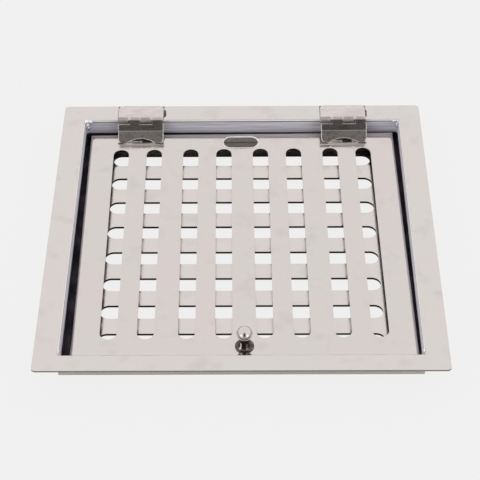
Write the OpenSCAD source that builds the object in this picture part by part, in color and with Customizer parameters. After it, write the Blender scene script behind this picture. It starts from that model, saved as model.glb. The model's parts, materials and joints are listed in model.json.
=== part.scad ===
// Terrace drain grate in stainless steel: a folded frame that is set into the
// floor, a slotted grate fixed inside its skirt, and a slotted lid that lifts
// on two welded hinges. The two sets of slots cross at right angles.
// The origin is at the middle of the skirt's bottom edge, with +Z up,
// +X to the right and +Y towards the hinges.

/* [Frame] */
// Width of the flange over its outer edges
frame_w = 300; // [200:1:420]
// Depth of the flange over its outer edges
frame_d = 300; // [200:1:420]
// Flange width at the sides and the rear, from outer edge to recess
flange_w = 18.2; // [18:0.2:30]
// Flange width at the front, from outer edge to recess
flange_front_w = 16.2; // [14:0.2:30]
// Height of the frame, from the skirt's bottom edge to the flange's top
skirt_h = 21; // [20:0.5:60]
// Sheet thickness of the frame
frame_t = 1.5; // [1:0.1:2.5]
// Inside radius of the fold between flange and skirt
frame_bend_r = 1; // [0.5:0.1:3]
// Corner radius of the flange
frame_corner_r = 3; // [1:0.5:10]
// Leg of the weld fillet in each corner of the recess
weld_leg = 2.4; // [1:0.1:4]

/* [Lower grate] */
// Sheet thickness of the lower grate
grate_t = 2; // [1:0.1:3]
// Radius of the lower grate's corners
grate_corner_r = 1; // [0.5:0.1:6]
// Gap between the lower grate and the skirt around it
grate_gap = 0.2; // [0.1:0.05:1]
// Width of a slot in the lower grate
grate_slot_w = 13.7; // [6:0.1:16]
// Distance between the centres of two slots in the lower grate
grate_pitch = 29.2; // [20:0.1:40]
// Plain land beyond the ends of the lower grate's slots
grate_end_land = 24.6; // [10:0.1:40]
// Least plain land beside the first and last slot of the lower grate
grate_side_land = 22.4; // [10:0.1:40]

/* [Lid] */
// Sheet thickness of the lid
lid_t = 1.5; // [1:0.1:2.5]
// Depth of the lid's top below the flange's top
lid_drop = 11; // [8:0.1:12]
// Gap between the lid and the walls of the recess
lid_gap = 4.5; // [3:0.1:8]
// Angle by which the lid is welded askew to its hinges, in degrees
lid_askew = 0.55; // [-0.6:0.05:0.6]
// Gap under the lid's rim when it is shut
lid_seat_gap = 0.3; // [0.2:0.05:1]
// Inside radius of the lid's folded rim
lid_bend_r = 0.6; // [0.3:0.1:2]
// Radius of the lid's corners
lid_corner_r = 2; // [1:0.1:6]
// Width of a slot in the lid
lid_slot_w = 12.8; // [6:0.1:16]
// Distance between the two slots of a pair
lid_pair_pitch = 27.5; // [18:0.1:40]
// Distance between the last slot of a pair and the first of the next
lid_next_pitch = 30.4; // [18:0.1:40]
// Plain land beyond the ends of the lid's slots
lid_end_land = 20.7; // [15:0.1:40]
// Least plain land beside the first and last slot of the lid
lid_side_land = 18.4; // [10:0.1:40]

/* [Knob] */
// Distance of the knob's axis from the lid's front edge
knob_inset = 12.7; // [9.2:0.1:14]
// Diameter of the knob's ball
knob_ball_d = 11.7; // [8:0.1:16]
// Height of the ball's centre above the lid
knob_ball_h = 13.4; // [11:0.1:22]
// Diameter of the stem under the ball
knob_stem_d = 8.2; // [7:0.1:9]
// Diameter of the neck between stem and ball
knob_neck_d = 6.6; // [5.6:0.1:7.8]
// Diameter of the knob's foot on the lid
knob_foot_d = 14.2; // [11:0.1:15.6]
// Thickness of the foot's rim
knob_foot_t = 0.7; // [0.4:0.1:1.5]
// Diameter of the knob's screw
screw_d = 4; // [3:0.5:5]
// Radial clearance of the screw in the knob's thread, which is left plain
thread_gap = 0.05; // [0.02:0.01:0.1]
// Radial clearance of the screw in the lid and in the washer
screw_gap = 0.2; // [0.1:0.05:0.5]
// Length of the screw inside the knob
screw_reach = 7; // [4:0.5:9]
// Diameter of the screw's head
screw_head_d = 7.6; // [6:0.1:9]
// Height of the screw's head
screw_head_h = 2.2; // [1.2:0.1:2.4]
// Width across the corners of the screw's hexagon socket
screw_socket_w = 2.9; // [2:0.1:3.5]
// Depth of the screw's hexagon socket
screw_socket_h = 1.2; // [0.6:0.1:1.4]
// Outer diameter of the washer
washer_d = 9; // [8:0.1:12]
// Thickness of the washer
washer_t = 0.8; // [0.5:0.1:1]

/* [Hinges] */
// Width of a hinge
hinge_w = 38; // [34:0.5:50]
// Distance of a hinge's middle from the lid's side edge
hinge_inset = 42.1; // [28:0.1:60]
// Sheet thickness of the hinge leaves
leaf_t = 1.2; // [0.8:0.1:1.6]
// Diameter of the hinge pin
pin_d = 2.5; // [2:0.1:4]
// Radial clearance of the pin in the knuckles
pin_gap = 0.05; // [0.02:0.01:0.1]
// Chamfer at the ends of the hinge pin
pin_bevel = 0.3; // [0.1:0.05:0.6]
// Distance of the hinge axis in front of the recess's rear wall
hinge_lead = 3.6; // [1:0.1:5]
// Length of the frame leaf behind the hinge axis
frame_leaf_l = 21; // [14:0.1:21.5]
// Radius of the frame leaf's rear corners
frame_leaf_r = 4; // [1:0.5:8]
// Free space between two knuckles
knuckle_gap = 0.9; // [0.5:0.05:1.5]
// Sideways play, by which the lid leaves sit to the right
hinge_play = 0.4; // [0:0.05:0.45]
// Clearance around a knuckle where the other leaf is notched
notch_gap = 0.5; // [0.3:0.05:1]
// Width of the seam where a knuckle's roll closes
seam_w = 0.25; // [0.1:0.05:0.4]
// Slope of the lid leaf's upper half
leaf_upper_slope = 55; // [50:0.5:58]
// Slope of the lid leaf's lower half
leaf_lower_slope = 47.5; // [44:0.5:50]
// Length of the lid leaf's upper half
leaf_upper_l = 9.4; // [8:0.1:11]
// Radius of the lid leaf's lower corners
lid_leaf_r = 4; // [2:0.1:5]
// Width of the hollow in the lid leaf's lower edge
scallop_w = 24.6; // [16:0.1:26]
// Depth of the hollow in the lid leaf's lower edge
scallop_h = 3.9; // [2:0.1:5]

/* [Hidden] */
$fn = 96;

// Extra length that carries a cut clear of the metal
cut = 1;
// Least radius inside a folded corner
least_corner_r = 0.3;
// Width and depth of the recess inside the skirt, and where its middle lies
recess_w = frame_w - 2 * flange_w;
recess_d = frame_d - flange_w - flange_front_w;
recess_y = (flange_front_w - flange_w) / 2;
// Outer size of the lower grate
grate_w = recess_w - 2 * grate_gap;
grate_d = recess_d - 2 * grate_gap;
// Outer size of the lid
lid_w = recess_w - 2 * lid_gap;
lid_d = recess_d - 2 * lid_gap;
lid_top = skirt_h - lid_drop;
lid_under = lid_top - lid_t;
lid_foot = grate_t + lid_seat_gap;
// Bore and outside of a rolled knuckle
knuckle_bore_r = pin_d / 2 + pin_gap;
knuckle_r = knuckle_bore_r + leaf_t;
// Place of the hinge axis
axis_y = recess_y + recess_d / 2 - hinge_lead;
axis_z = skirt_h + knuckle_r;
hinge_x = lid_w / 2 - hinge_inset;
// Room for one knuckle along the pin
knuckle_step = hinge_w / 4;
// Place of the knob, from the middle of the lid
knob_y = knob_inset - lid_d / 2;

// The four corners, going round from +X +Y
CORNERS = [[1, 1], [-1, 1], [-1, -1], [1, -1]];

steel = [0.80, 0.78, 0.77];
polished = [0.88, 0.88, 0.88];
dull = [0.52, 0.50, 0.49];

// A slot with round ends, lying along X
module slot(long, wide) {
    square([long - wide, wide], center = true);
    for (side = [-1, 1])
        translate([side * (long - wide) / 2, 0])
            circle(d = wide);
}

// A rectangle with round corners
module round_rectangle(wide, deep, r) {
    square([wide - 2 * r, deep], center = true);
    square([wide, deep - 2 * r], center = true);
    for (x = [-1, 1], y = [-1, 1])
        translate([x * (wide / 2 - r), y * (deep / 2 - r)])
            circle(r = r);
}

// A rectangle that stands on X, with its upper corners rounded
module arched_rectangle(wide, tall, r) {
    translate([-wide / 2, 0])
        square([wide, tall - r]);
    translate([r - wide / 2, 0])
        square([wide - 2 * r, tall]);
    for (side = [-1, 1])
        translate([side * (wide / 2 - r), tall - r])
            circle(r = r);
}

// A rectangle that stands on X and flares outwards at its top by a quarter
// round. A band on top of the flare is as wide as the flare's end.
module flared_rectangle(wide, tall, r, band) {
    translate([-wide / 2, 0])
        square([wide, tall]);
    difference() {
        translate([-wide / 2 - r, tall - r])
            square([wide + 2 * r, r + band]);
        for (side = [-1, 1])
            translate([side * (wide / 2 + r), tall - r])
                circle(r = r);
    }
}

// The block that two sections share when the first is drawn along Y and the
// second along X. Its corners are mitred, as on a folded sheet.
module mitred(reach) {
    intersection() {
        rotate([90, 0, 0])
            linear_extrude(reach, center = true)
                children(0);
        rotate([90, 0, 90])
            linear_extrude(reach, center = true)
                children(1);
    }
}

// A sheet tray, open below, with its edges folded down all round
module tray(wide, deep, thick, bend_r, tall, corner_r) {
    reach = wide + deep;
    inner_w = wide - 2 * thick;
    inner_d = deep - 2 * thick;
    inner_tall = cut + tall - thick;
    difference() {
        intersection() {
            mitred(reach) {
                arched_rectangle(wide, tall, thick + bend_r);
                arched_rectangle(deep, tall, thick + bend_r);
            }
            linear_extrude(tall + cut)
                round_rectangle(wide, deep, corner_r);
        }
        translate([0, 0, -cut])
            intersection() {
                mitred(reach) {
                    arched_rectangle(inner_w, inner_tall, bend_r);
                    arched_rectangle(inner_d, inner_tall, bend_r);
                }
                linear_extrude(inner_tall + cut)
                    round_rectangle(inner_w, inner_d, max(corner_r - thick, least_corner_r));
            }
    }
}

// The frame is one folded sheet. Its four corners are welded and dressed, and
// its front flange is the narrowest.
module frame() {
    reach = frame_w + frame_d;
    under_flange = skirt_h - frame_t;
    fold_r = frame_t + frame_bend_r;
    color(steel)
        translate([0, recess_y, 0]) {
            difference() {
                union() {
                    mitred(reach) {
                        flared_rectangle(recess_w + 2 * frame_t, under_flange, frame_bend_r, frame_t / 2);
                        flared_rectangle(recess_d + 2 * frame_t, under_flange, frame_bend_r, frame_t / 2);
                    }
                    translate([0, -recess_y, under_flange])
                        linear_extrude(frame_t)
                            round_rectangle(frame_w, frame_d, frame_corner_r);
                }
                translate([0, 0, -cut])
                    mitred(reach) {
                        flared_rectangle(recess_w, skirt_h + cut, fold_r, cut);
                        flared_rectangle(recess_d, skirt_h + cut, fold_r, cut);
                    }
            }
            for (corner = [0:3])
                translate([CORNERS[corner][0] * recess_w / 2, CORNERS[corner][1] * recess_d / 2, grate_t])
                    rotate([0, 0, 90 * corner])
                        weld_fillet(under_flange - grate_t);
        }
}

// Hollow weld fillet in a corner of the recess, with its heel in the sheet
module weld_fillet(tall) {
    heel = frame_t / 2;
    linear_extrude(tall)
        difference() {
            translate([-weld_leg, -weld_leg])
                square(weld_leg + heel);
            translate([-weld_leg, -weld_leg])
                circle(r = weld_leg);
        }
}

// Slots of the lower grate, as many as fit, along X
module grate_slots() {
    rows = floor((grate_d - 2 * grate_side_land - grate_slot_w) / grate_pitch) + 1;
    for (row = [0:rows - 1])
        translate([0, (row - (rows - 1) / 2) * grate_pitch])
            slot(grate_w - 2 * grate_end_land, grate_slot_w);
}

// The lower grate: a slotted plate that closes the foot of the skirt
module lower_grate() {
    color(steel)
        translate([0, recess_y, 0])
            linear_extrude(grate_t)
                difference() {
                    round_rectangle(grate_w, grate_d, grate_corner_r);
                    grate_slots();
                }
}

// Put what is fixed to the lid in its place, askew with it to the hinge axis
module on_lid() {
    translate([0, axis_y, 0])
        rotate([0, 0, lid_askew])
            translate([0, recess_y - axis_y, 0])
                children();
}

// Slots of the lid, in as many pairs as fit, along Y
module lid_slots() {
    group = lid_pair_pitch + lid_next_pitch;
    pairs = floor((lid_w - 2 * lid_side_land - lid_slot_w + lid_next_pitch) / group);
    for (pair = [0:pairs - 1], side = [-1, 1])
        translate([(pair - (pairs - 1) / 2) * group + side * lid_pair_pitch / 2, 0])
            rotate([0, 0, 90])
                slot(lid_d - 2 * lid_end_land, lid_slot_w);
}

// The lid: a slotted tray with a screw hole for its knob
module lid() {
    color(steel)
        on_lid()
            difference() {
                translate([0, 0, lid_foot])
                    tray(lid_w, lid_d, lid_t, lid_bend_r, lid_top - lid_foot, lid_corner_r);
                translate([0, 0, lid_under - cut])
                    linear_extrude(lid_t + 2 * cut)
                        lid_slots();
                translate([0, knob_y, lid_under - cut])
                    cylinder(r = screw_d / 2 + screw_gap, h = lid_t + 2 * cut);
            }
}

// Turned section of the knob: foot, flare, stem, neck and ball
module knob_section() {
    stem_r = knob_stem_d / 2;
    neck_r = knob_neck_d / 2;
    ball_r = knob_ball_d / 2;
    foot_r = knob_foot_d / 2;
    flare = foot_r - stem_r;
    neck_h = knob_ball_h - ball_r;
    square([foot_r, knob_foot_t]);
    difference() {
        translate([0, knob_foot_t])
            square([foot_r, flare]);
        translate([foot_r, knob_foot_t + flare])
            circle(r = flare);
    }
    polygon([[0, 0], [stem_r, 0], [stem_r, neck_h - (stem_r - neck_r)], [neck_r, neck_h],
        [neck_r, knob_ball_h], [0, knob_ball_h]]);
    translate([0, knob_ball_h])
        intersection() {
            circle(r = ball_r);
            translate([0, -ball_r])
                square([ball_r, 2 * ball_r]);
        }
}

// The lifting knob: a ball on a flared foot, with a plain hole for its thread
module knob() {
    color(polished)
        on_lid()
            translate([0, knob_y, lid_top])
                difference() {
                    rotate_extrude()
                        knob_section();
                    translate([0, 0, -cut])
                        cylinder(r = screw_d / 2 + thread_gap, h = screw_reach + thread_gap + cut);
                }
}

// The washer between the lid and the screw's head
module knob_washer() {
    color(dull)
        on_lid()
            translate([0, knob_y, lid_under - washer_t])
                difference() {
                    cylinder(d = washer_d, h = washer_t);
                    translate([0, 0, -cut])
                        cylinder(r = screw_d / 2 + screw_gap, h = washer_t + 2 * cut);
                }
}

// The screw that holds the knob from below
module knob_screw() {
    shank = washer_t + lid_t + screw_reach;
    color(dull)
        on_lid()
            translate([0, knob_y, lid_under - washer_t - screw_head_h])
                difference() {
                    union() {
                        cylinder(d1 = screw_head_d - screw_head_h, d2 = screw_head_d, h = screw_head_h / 2);
                        translate([0, 0, screw_head_h / 2])
                            cylinder(d = screw_head_d, h = screw_head_h / 2);
                        translate([0, 0, screw_head_h])
                            cylinder(d = screw_d, h = shank);
                    }
                    translate([0, 0, -cut])
                        cylinder(d = screw_socket_w, h = screw_socket_h + cut, $fn = 6);
                }
}

// A rod along X, from one place on the hinge to another
module along_x(from, to, r) {
    translate([from, 0, 0])
        rotate([0, 90, 0])
            cylinder(r = r, h = to - from);
}

// Where a knuckle starts and ends along the hinge, counted from the left
function knuckle_from(step) = step * knuckle_step - hinge_w / 2;
function knuckle_to(step) = knuckle_from(step) + knuckle_step - knuckle_gap;

// A leaf's knuckles, every second one from the first given. Each is the leaf's
// own sheet, rolled round the pin and closed at a seam on top of the leaf.
module knuckles(first) {
    for (step = [first:2:3])
        difference() {
            along_x(knuckle_from(step), knuckle_to(step), knuckle_r);
            translate([knuckle_from(step) - cut, 0, -knuckle_bore_r - cut])
                cube([knuckle_step + 2 * cut, knuckle_r + cut, seam_w + cut]);
        }
}

// Notches in a leaf, in which the other leaf's knuckles turn
module knuckle_notches(first) {
    reach = knuckle_r + notch_gap;
    for (step = [first:2:4]) {
        from = knuckle_to(step - 1);
        past = step > 2 ? cut : 0;
        translate([from, -reach, -reach])
            cube([knuckle_from(step + 1) - from + past, 2 * reach, 2 * reach]);
    }
}

// Outline of the frame leaf seen from above, with its rear corners rounded
module frame_leaf_outline() {
    intersection() {
        translate([-hinge_w / 2, 0])
            square([hinge_w, frame_leaf_l]);
        round_rectangle(hinge_w, 2 * frame_leaf_l, frame_leaf_r);
    }
}

// The leaf that is welded flat on the flange. The hinge axis is on X at the origin.
module frame_leaf() {
    color(steel)
        difference() {
            union() {
                difference() {
                    translate([0, 0, -knuckle_r])
                        linear_extrude(leaf_t)
                            frame_leaf_outline();
                    knuckle_notches(1);
                }
                knuckles(0);
            }
            along_x(-hinge_w, hinge_w, knuckle_bore_r);
        }
}

// Directions along the lid leaf's halves and square to them, in Y and Z
function down_slope(slope) = [-cos(slope), -sin(slope)];
function off_slope(slope) = [-sin(slope), cos(slope)];

// Where the lid leaf's upper side leaves the roll, and where it is folded
leaf_start = knuckle_r * off_slope(leaf_upper_slope);
leaf_fold = leaf_start + leaf_upper_l * down_slope(leaf_upper_slope);
// Height of the lid's top, and how far the lower half runs to it
leaf_seat = lid_top - axis_z;
leaf_lower_l = (leaf_fold[1] - leaf_seat) / sin(leaf_lower_slope);

// Section of the lid leaf's sheet, beyond the lid's top at its lower end
module lid_leaf_section() {
    upper_off = off_slope(leaf_upper_slope);
    lower_off = off_slope(leaf_lower_slope);
    mitre = (upper_off + lower_off) / (1 + upper_off * lower_off);
    leaf_end = leaf_fold + (leaf_lower_l + 2 * leaf_t) * down_slope(leaf_lower_slope);
    polygon([leaf_start, leaf_fold, leaf_end, leaf_end - leaf_t * lower_off,
        leaf_fold - leaf_t * mitre, leaf_start - leaf_t * upper_off]);
}

// What is punched out of the lid leaf's lower edge, on its lower half laid flat
module lid_leaf_cuts() {
    scallop_r = (scallop_w * scallop_w / 4 + scallop_h * scallop_h) / (2 * scallop_h);
    translate([0, scallop_h - scallop_r - leaf_lower_l])
        circle(r = scallop_r);
    for (side = [-1, 1])
        translate([side * (hinge_w / 2 - lid_leaf_r), lid_leaf_r - leaf_lower_l])
            difference() {
                translate([side > 0 ? 0 : -lid_leaf_r - cut, -lid_leaf_r - 2 * leaf_t - cut])
                    square([lid_leaf_r + cut, lid_leaf_r + 2 * leaf_t + cut]);
                circle(r = lid_leaf_r);
                translate([side > 0 ? -cut : 0, -lid_leaf_r - 2 * leaf_t - 2 * cut])
                    square([cut, lid_leaf_r]);
            }
}

// The leaf that stands on the lid and slopes up to the pin
module lid_leaf() {
    color(dull)
        translate([hinge_play, 0, 0])
            difference() {
                union() {
                    difference() {
                        rotate([90, 0, 90])
                            linear_extrude(hinge_w, center = true)
                                lid_leaf_section();
                        rotate([leaf_upper_slope, 0, 0])
                            knuckle_notches(0);
                        translate([0, leaf_fold[0], leaf_fold[1]])
                            rotate([leaf_lower_slope, 0, 0])
                                translate([0, 0, -leaf_t - cut])
                                    linear_extrude(leaf_t + 2 * cut)
                                        lid_leaf_cuts();
                        translate([-hinge_w, -2 * hinge_w, leaf_seat - hinge_w])
                            cube([2 * hinge_w, 2 * hinge_w, hinge_w]);
                    }
                    rotate([180 + leaf_upper_slope, 0, 0])
                        knuckles(1);
                }
                along_x(-hinge_w, hinge_w, knuckle_bore_r);
            }
}

// The pin, chamfered at both ends
module hinge_pin() {
    color(polished) {
        along_x(pin_bevel - hinge_w / 2, hinge_w / 2 - pin_bevel, pin_d / 2);
        for (side = [-1, 1])
            translate([side * (hinge_w / 2 - pin_bevel), 0, 0])
                rotate([0, side * 90, 0])
                    cylinder(d1 = pin_d, d2 = pin_d - 2 * pin_bevel, h = pin_bevel);
    }
}

// Put one piece of a hinge on its axis, on the left or on the right
module at_hinge(side) {
    translate([side * hinge_x, axis_y, axis_z])
        children();
}

module left_frame_leaf() {
    at_hinge(-1) frame_leaf();
}

module left_lid_leaf() {
    at_hinge(-1) lid_leaf();
}

module left_hinge_pin() {
    at_hinge(-1) hinge_pin();
}

module right_frame_leaf() {
    at_hinge(1) frame_leaf();
}

module right_lid_leaf() {
    at_hinge(1) lid_leaf();
}

module right_hinge_pin() {
    at_hinge(1) hinge_pin();
}

frame();
lower_grate();
lid();
knob();
knob_screw();
knob_washer();
left_frame_leaf();
left_lid_leaf();
left_hinge_pin();
right_frame_leaf();
right_lid_leaf();
right_hinge_pin();
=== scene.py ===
# %% [markdown]
# A terrace drain grate is sheet steel that has been cut, folded and welded. The
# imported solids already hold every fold, slot and hinge at its real size, so this
# notebook gives them their finishes and adds what a welder and a polisher leave
# behind. Nothing that the solids fix is moved or resized here.

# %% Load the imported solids
import json
import math
import random

import bmesh
import bpy
from mathutils import Matrix, Vector

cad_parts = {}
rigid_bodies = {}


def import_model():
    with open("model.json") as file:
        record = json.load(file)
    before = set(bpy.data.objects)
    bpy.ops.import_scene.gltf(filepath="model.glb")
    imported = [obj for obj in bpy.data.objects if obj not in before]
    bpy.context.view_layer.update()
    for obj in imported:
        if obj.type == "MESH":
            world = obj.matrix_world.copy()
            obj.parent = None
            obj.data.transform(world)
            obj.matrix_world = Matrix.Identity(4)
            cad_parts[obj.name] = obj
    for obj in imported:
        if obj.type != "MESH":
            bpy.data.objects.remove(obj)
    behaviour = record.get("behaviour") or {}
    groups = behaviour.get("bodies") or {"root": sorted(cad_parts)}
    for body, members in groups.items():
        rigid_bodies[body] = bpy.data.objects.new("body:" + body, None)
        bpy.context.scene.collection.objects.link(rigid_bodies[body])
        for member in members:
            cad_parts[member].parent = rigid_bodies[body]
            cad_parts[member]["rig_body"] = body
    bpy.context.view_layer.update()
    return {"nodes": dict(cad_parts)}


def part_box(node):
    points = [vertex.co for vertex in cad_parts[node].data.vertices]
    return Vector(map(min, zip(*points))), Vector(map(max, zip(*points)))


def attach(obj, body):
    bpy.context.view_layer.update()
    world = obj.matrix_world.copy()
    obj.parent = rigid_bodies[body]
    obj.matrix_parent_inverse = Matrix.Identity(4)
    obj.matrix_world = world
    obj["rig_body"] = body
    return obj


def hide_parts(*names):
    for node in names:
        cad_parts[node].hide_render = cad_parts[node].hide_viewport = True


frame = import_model()
nodes = frame["nodes"]
MM = 0.001
print("solids:", ", ".join(sorted(nodes)))

# %% [markdown]
# Colours are given as sRGB hex values, but shaders work in linear light.
# One function does the change, so that a value in this file can be compared with
# a pixel of a picture.

# %% Turn a hex colour to linear
def linear(hex_colour):
    channels = [int(hex_colour[i:i + 2], 16) / 255 for i in (1, 3, 5)]
    curve = [c / 12.92 if c <= 0.04045 else ((c + 0.055) / 1.055) ** 2.4 for c in channels]
    return (*curve, 1.0)


print("sheet colour in linear light:", [round(c, 3) for c in linear("#D6D1CE")])

# %% [markdown]
# A material is a small tree of nodes. Three steps are needed for each node: make
# it, set it and link it. One helper does all three, and every material below is
# written with it.

# %% Helper that adds one node
def add_node(tree, kind, settings=None, links=None):
    node = tree.nodes.new(kind)
    for name, value in (settings or {}).items():
        if isinstance(name, int) or name in node.inputs:
            node.inputs[name].default_value = value
        else:
            setattr(node, name, value)
    for name, source in (links or {}).items():
        tree.links.new(source, node.inputs[name])
    return node


# %% [markdown]
# The camera looks down at the grate from the side of the knob. Its place and
# lens come from fitting the model's flange and slots to their edges in the
# photo. The picture is taken from far away with a long lens, so the square
# narrows only a little towards the hinges.

# %% Camera
CAMERA_PLACE = Vector((0.0069, -0.8894, 0.8525))
CAMERA_YAW = math.radians(-0.528)
CAMERA_DOWN = math.radians(43.570)
CAMERA_ROLL = math.radians(-0.561)
LENS_MM = 116.9
SENSOR_MM = 36


def make_camera():
    data = bpy.data.cameras.new("camera")
    data.sensor_width = SENSOR_MM
    data.lens = LENS_MM
    camera = bpy.data.objects.new("camera", data)
    bpy.context.scene.collection.objects.link(camera)
    turned = Matrix.Rotation(-CAMERA_YAW, 4, "Z")
    tipped = Matrix.Rotation(math.pi / 2 - CAMERA_DOWN, 4, "X")
    rolled = Matrix.Rotation(CAMERA_ROLL, 4, "Z")
    camera.matrix_world = Matrix.Translation(CAMERA_PLACE) @ turned @ tipped @ rolled
    bpy.context.scene.camera = camera
    return camera


camera = make_camera()
print("camera is", round(CAMERA_PLACE.length, 3), "m from the origin")

# %% [markdown]
# Bare metal has no colour of its own to show: it shows the room. The plates face
# up and mirror the bright wall behind the grate. Whatever leans towards the
# camera mirrors the place where the camera and its stand are. So the world is
# white, with one soft dark upright band on the side of the camera, and two
# brighter windows beside it near the horizon.

# %% World
BACKGROUND = linear("#F0F0F0")
ROOM_LEVEL = 1.0
BAND_LEVEL = 0.13
BAND_INNER = math.cos(math.radians(11))
BAND_OUTER = math.cos(math.radians(25))
BAND_TOP = math.sin(math.radians(52))
BAND_FADED = math.sin(math.radians(66))
WINDOW_SIDE = math.radians(44)
WINDOW_RISE = math.radians(6)
WINDOW_INNER = math.cos(math.radians(9))
WINDOW_OUTER = math.cos(math.radians(13))
WINDOW_GAIN = 1.5


def room_level(tree):
    where = add_node(tree, "ShaderNodeTexCoord")
    flat = add_node(tree, "ShaderNodeVectorMath", {"operation": "MULTIPLY", 1: (1, 1, 0)},
                    {0: where.outputs["Generated"]})
    heading = add_node(tree, "ShaderNodeVectorMath", {"operation": "NORMALIZE"}, {0: flat.outputs[0]})
    ahead = add_node(tree, "ShaderNodeVectorMath", {"operation": "DOT_PRODUCT", 1: (0, -1, 0)},
                     {0: heading.outputs[0]})
    height = add_node(tree, "ShaderNodeSeparateXYZ", None, {0: where.outputs["Generated"]})
    beside = add_node(tree, "ShaderNodeMapRange",
                      {"interpolation_type": "SMOOTHSTEP", "From Min": BAND_OUTER, "From Max": BAND_INNER},
                      {"Value": ahead.outputs["Value"]})
    below = add_node(tree, "ShaderNodeMapRange",
                     {"interpolation_type": "SMOOTHSTEP", "From Min": BAND_FADED, "From Max": BAND_TOP},
                     {"Value": height.outputs["Z"]})
    band = add_node(tree, "ShaderNodeMath", {"operation": "MULTIPLY"},
                    {0: beside.outputs[0], 1: below.outputs[0]})
    level = add_node(tree, "ShaderNodeMapRange", {"To Min": ROOM_LEVEL, "To Max": BAND_LEVEL},
                     {"Value": band.outputs[0]}).outputs[0]
    for side in (-1, 1):
        middle = Vector((side * math.sin(WINDOW_SIDE), -math.cos(WINDOW_SIDE), math.tan(WINDOW_RISE)))
        near = add_node(tree, "ShaderNodeVectorMath", {"operation": "DOT_PRODUCT", 1: middle.normalized()},
                        {0: where.outputs["Generated"]})
        glow = add_node(tree, "ShaderNodeMapRange",
                        {"interpolation_type": "SMOOTHSTEP", "From Min": WINDOW_OUTER, "From Max": WINDOW_INNER,
                         "To Max": WINDOW_GAIN},
                        {"Value": near.outputs["Value"]})
        level = add_node(tree, "ShaderNodeMath", {"operation": "ADD"}, {0: level, 1: glow.outputs[0]}).outputs[0]
    return level


def make_world():
    world = bpy.data.worlds.new("room")
    world.use_nodes = True
    tree = world.node_tree
    tree.nodes.clear()
    room = add_node(tree, "ShaderNodeBackground", {"Color": (1, 1, 1, 1)}, {"Strength": room_level(tree)})
    plain = add_node(tree, "ShaderNodeBackground", {"Color": BACKGROUND, "Strength": 1.0})
    path = add_node(tree, "ShaderNodeLightPath")
    mix = add_node(tree, "ShaderNodeMixShader", None,
                   {0: path.outputs["Is Camera Ray"], 1: room.outputs[0], 2: plain.outputs[0]})
    add_node(tree, "ShaderNodeOutputWorld", None, {"Surface": mix.outputs[0]})
    bpy.context.scene.world = world
    bpy.context.scene.view_settings.view_transform = "Standard"
    return world


world = make_world()
print("room level runs from", BAND_LEVEL, "in the band to", ROOM_LEVEL)

# %% [markdown]
# The floor is a plain pale sheet. Seen straight, or mirrored in the steel, it
# keeps the even tone of the background, and only a small part of that tone comes
# from the light that falls on it, so the grate still throws a faint shadow.

# %% Floor
FLOOR_TONE = linear("#F2F1F1")
FLOOR_HALF = 3.0
FLOOR_EVEN_SHARE = 0.95


def make_floor():
    mesh = bpy.data.meshes.new("floor")
    form = bmesh.new()
    bmesh.ops.create_grid(form, x_segments=1, y_segments=1, size=FLOOR_HALF)
    form.to_mesh(mesh)
    form.free()
    floor = bpy.data.objects.new("floor", mesh)
    bpy.context.scene.collection.objects.link(floor)
    paper = bpy.data.materials.new("pale paper")
    paper.use_nodes = True
    tree = paper.node_tree
    tree.nodes.clear()
    lit = add_node(tree, "ShaderNodeBsdfDiffuse", {"Color": FLOOR_TONE})
    even = add_node(tree, "ShaderNodeEmission", {"Color": FLOOR_TONE, "Strength": 1.0})
    path = add_node(tree, "ShaderNodeLightPath")
    seen = add_node(tree, "ShaderNodeMath", {"operation": "MAXIMUM"},
                    {0: path.outputs["Is Camera Ray"], 1: path.outputs["Is Glossy Ray"]})
    share = add_node(tree, "ShaderNodeMath", {"operation": "MULTIPLY", 1: FLOOR_EVEN_SHARE},
                     {0: seen.outputs[0]})
    mix = add_node(tree, "ShaderNodeMixShader", None,
                   {0: share.outputs[0], 1: lit.outputs[0], 2: even.outputs[0]})
    add_node(tree, "ShaderNodeOutputMaterial", None, {"Surface": mix.outputs[0]})
    mesh.materials.append(paper)
    return floor


floor = make_floor()
print("floor is", 2 * FLOOR_HALF, "m wide")

# %% [markdown]
# Every finish here starts in the same way: an empty tree and the coordinates of
# the piece. It also ends in the same way, with metal and an output. These two
# helpers keep the finishes themselves short. Noise on Object coordinates stays
# with the piece when it moves.

# %% Helpers that begin and end a finish
def begin_finish(name):
    material = bpy.data.materials.new(name)
    material.use_nodes = True
    tree = material.node_tree
    tree.nodes.clear()
    return material, tree, add_node(tree, "ShaderNodeTexCoord")


def end_finish(tree, colour, roughness, normal=None, metallic=None):
    links = {"Base Color": colour, "Roughness": roughness}
    if normal:
        links["Normal"] = normal
    if metallic:
        links["Metallic"] = metallic
    metal = add_node(tree, "ShaderNodeBsdfPrincipled", {"Metallic": 1.0}, links)
    add_node(tree, "ShaderNodeOutputMaterial", None, {"Surface": metal.outputs[0]})


def patches(tree, where, size_mm, detail=2.0, low=0.35, high=0.65):
    noise = add_node(tree, "ShaderNodeTexNoise", {"Scale": 1 / (size_mm * MM), "Detail": detail},
                     {"Vector": where.outputs["Object"]})
    return add_node(tree, "ShaderNodeMapRange", {"From Min": low, "From Max": high},
                    {"Value": noise.outputs["Fac"]}).outputs[0]


def tint(tree, amount, first, second):
    settings = {"data_type": "RGBA"}
    links = {0: amount}
    for place, colour in ((6, first), (7, second)):
        if isinstance(colour, str):
            settings[place] = linear(colour)
        else:
            links[place] = colour
    return add_node(tree, "ShaderNodeMix", settings, links).outputs[2]


def fading(tree, value, low, high, fade):
    rise = add_node(tree, "ShaderNodeMapRange", {"From Min": low - fade, "From Max": low + fade},
                    {"Value": value})
    fall = add_node(tree, "ShaderNodeMapRange", {"From Min": high + fade, "From Max": high - fade},
                    {"Value": value})
    return add_node(tree, "ShaderNodeMath", {"operation": "MULTIPLY"},
                    {0: rise.outputs[0], 1: fall.outputs[0]}).outputs[0]


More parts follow.
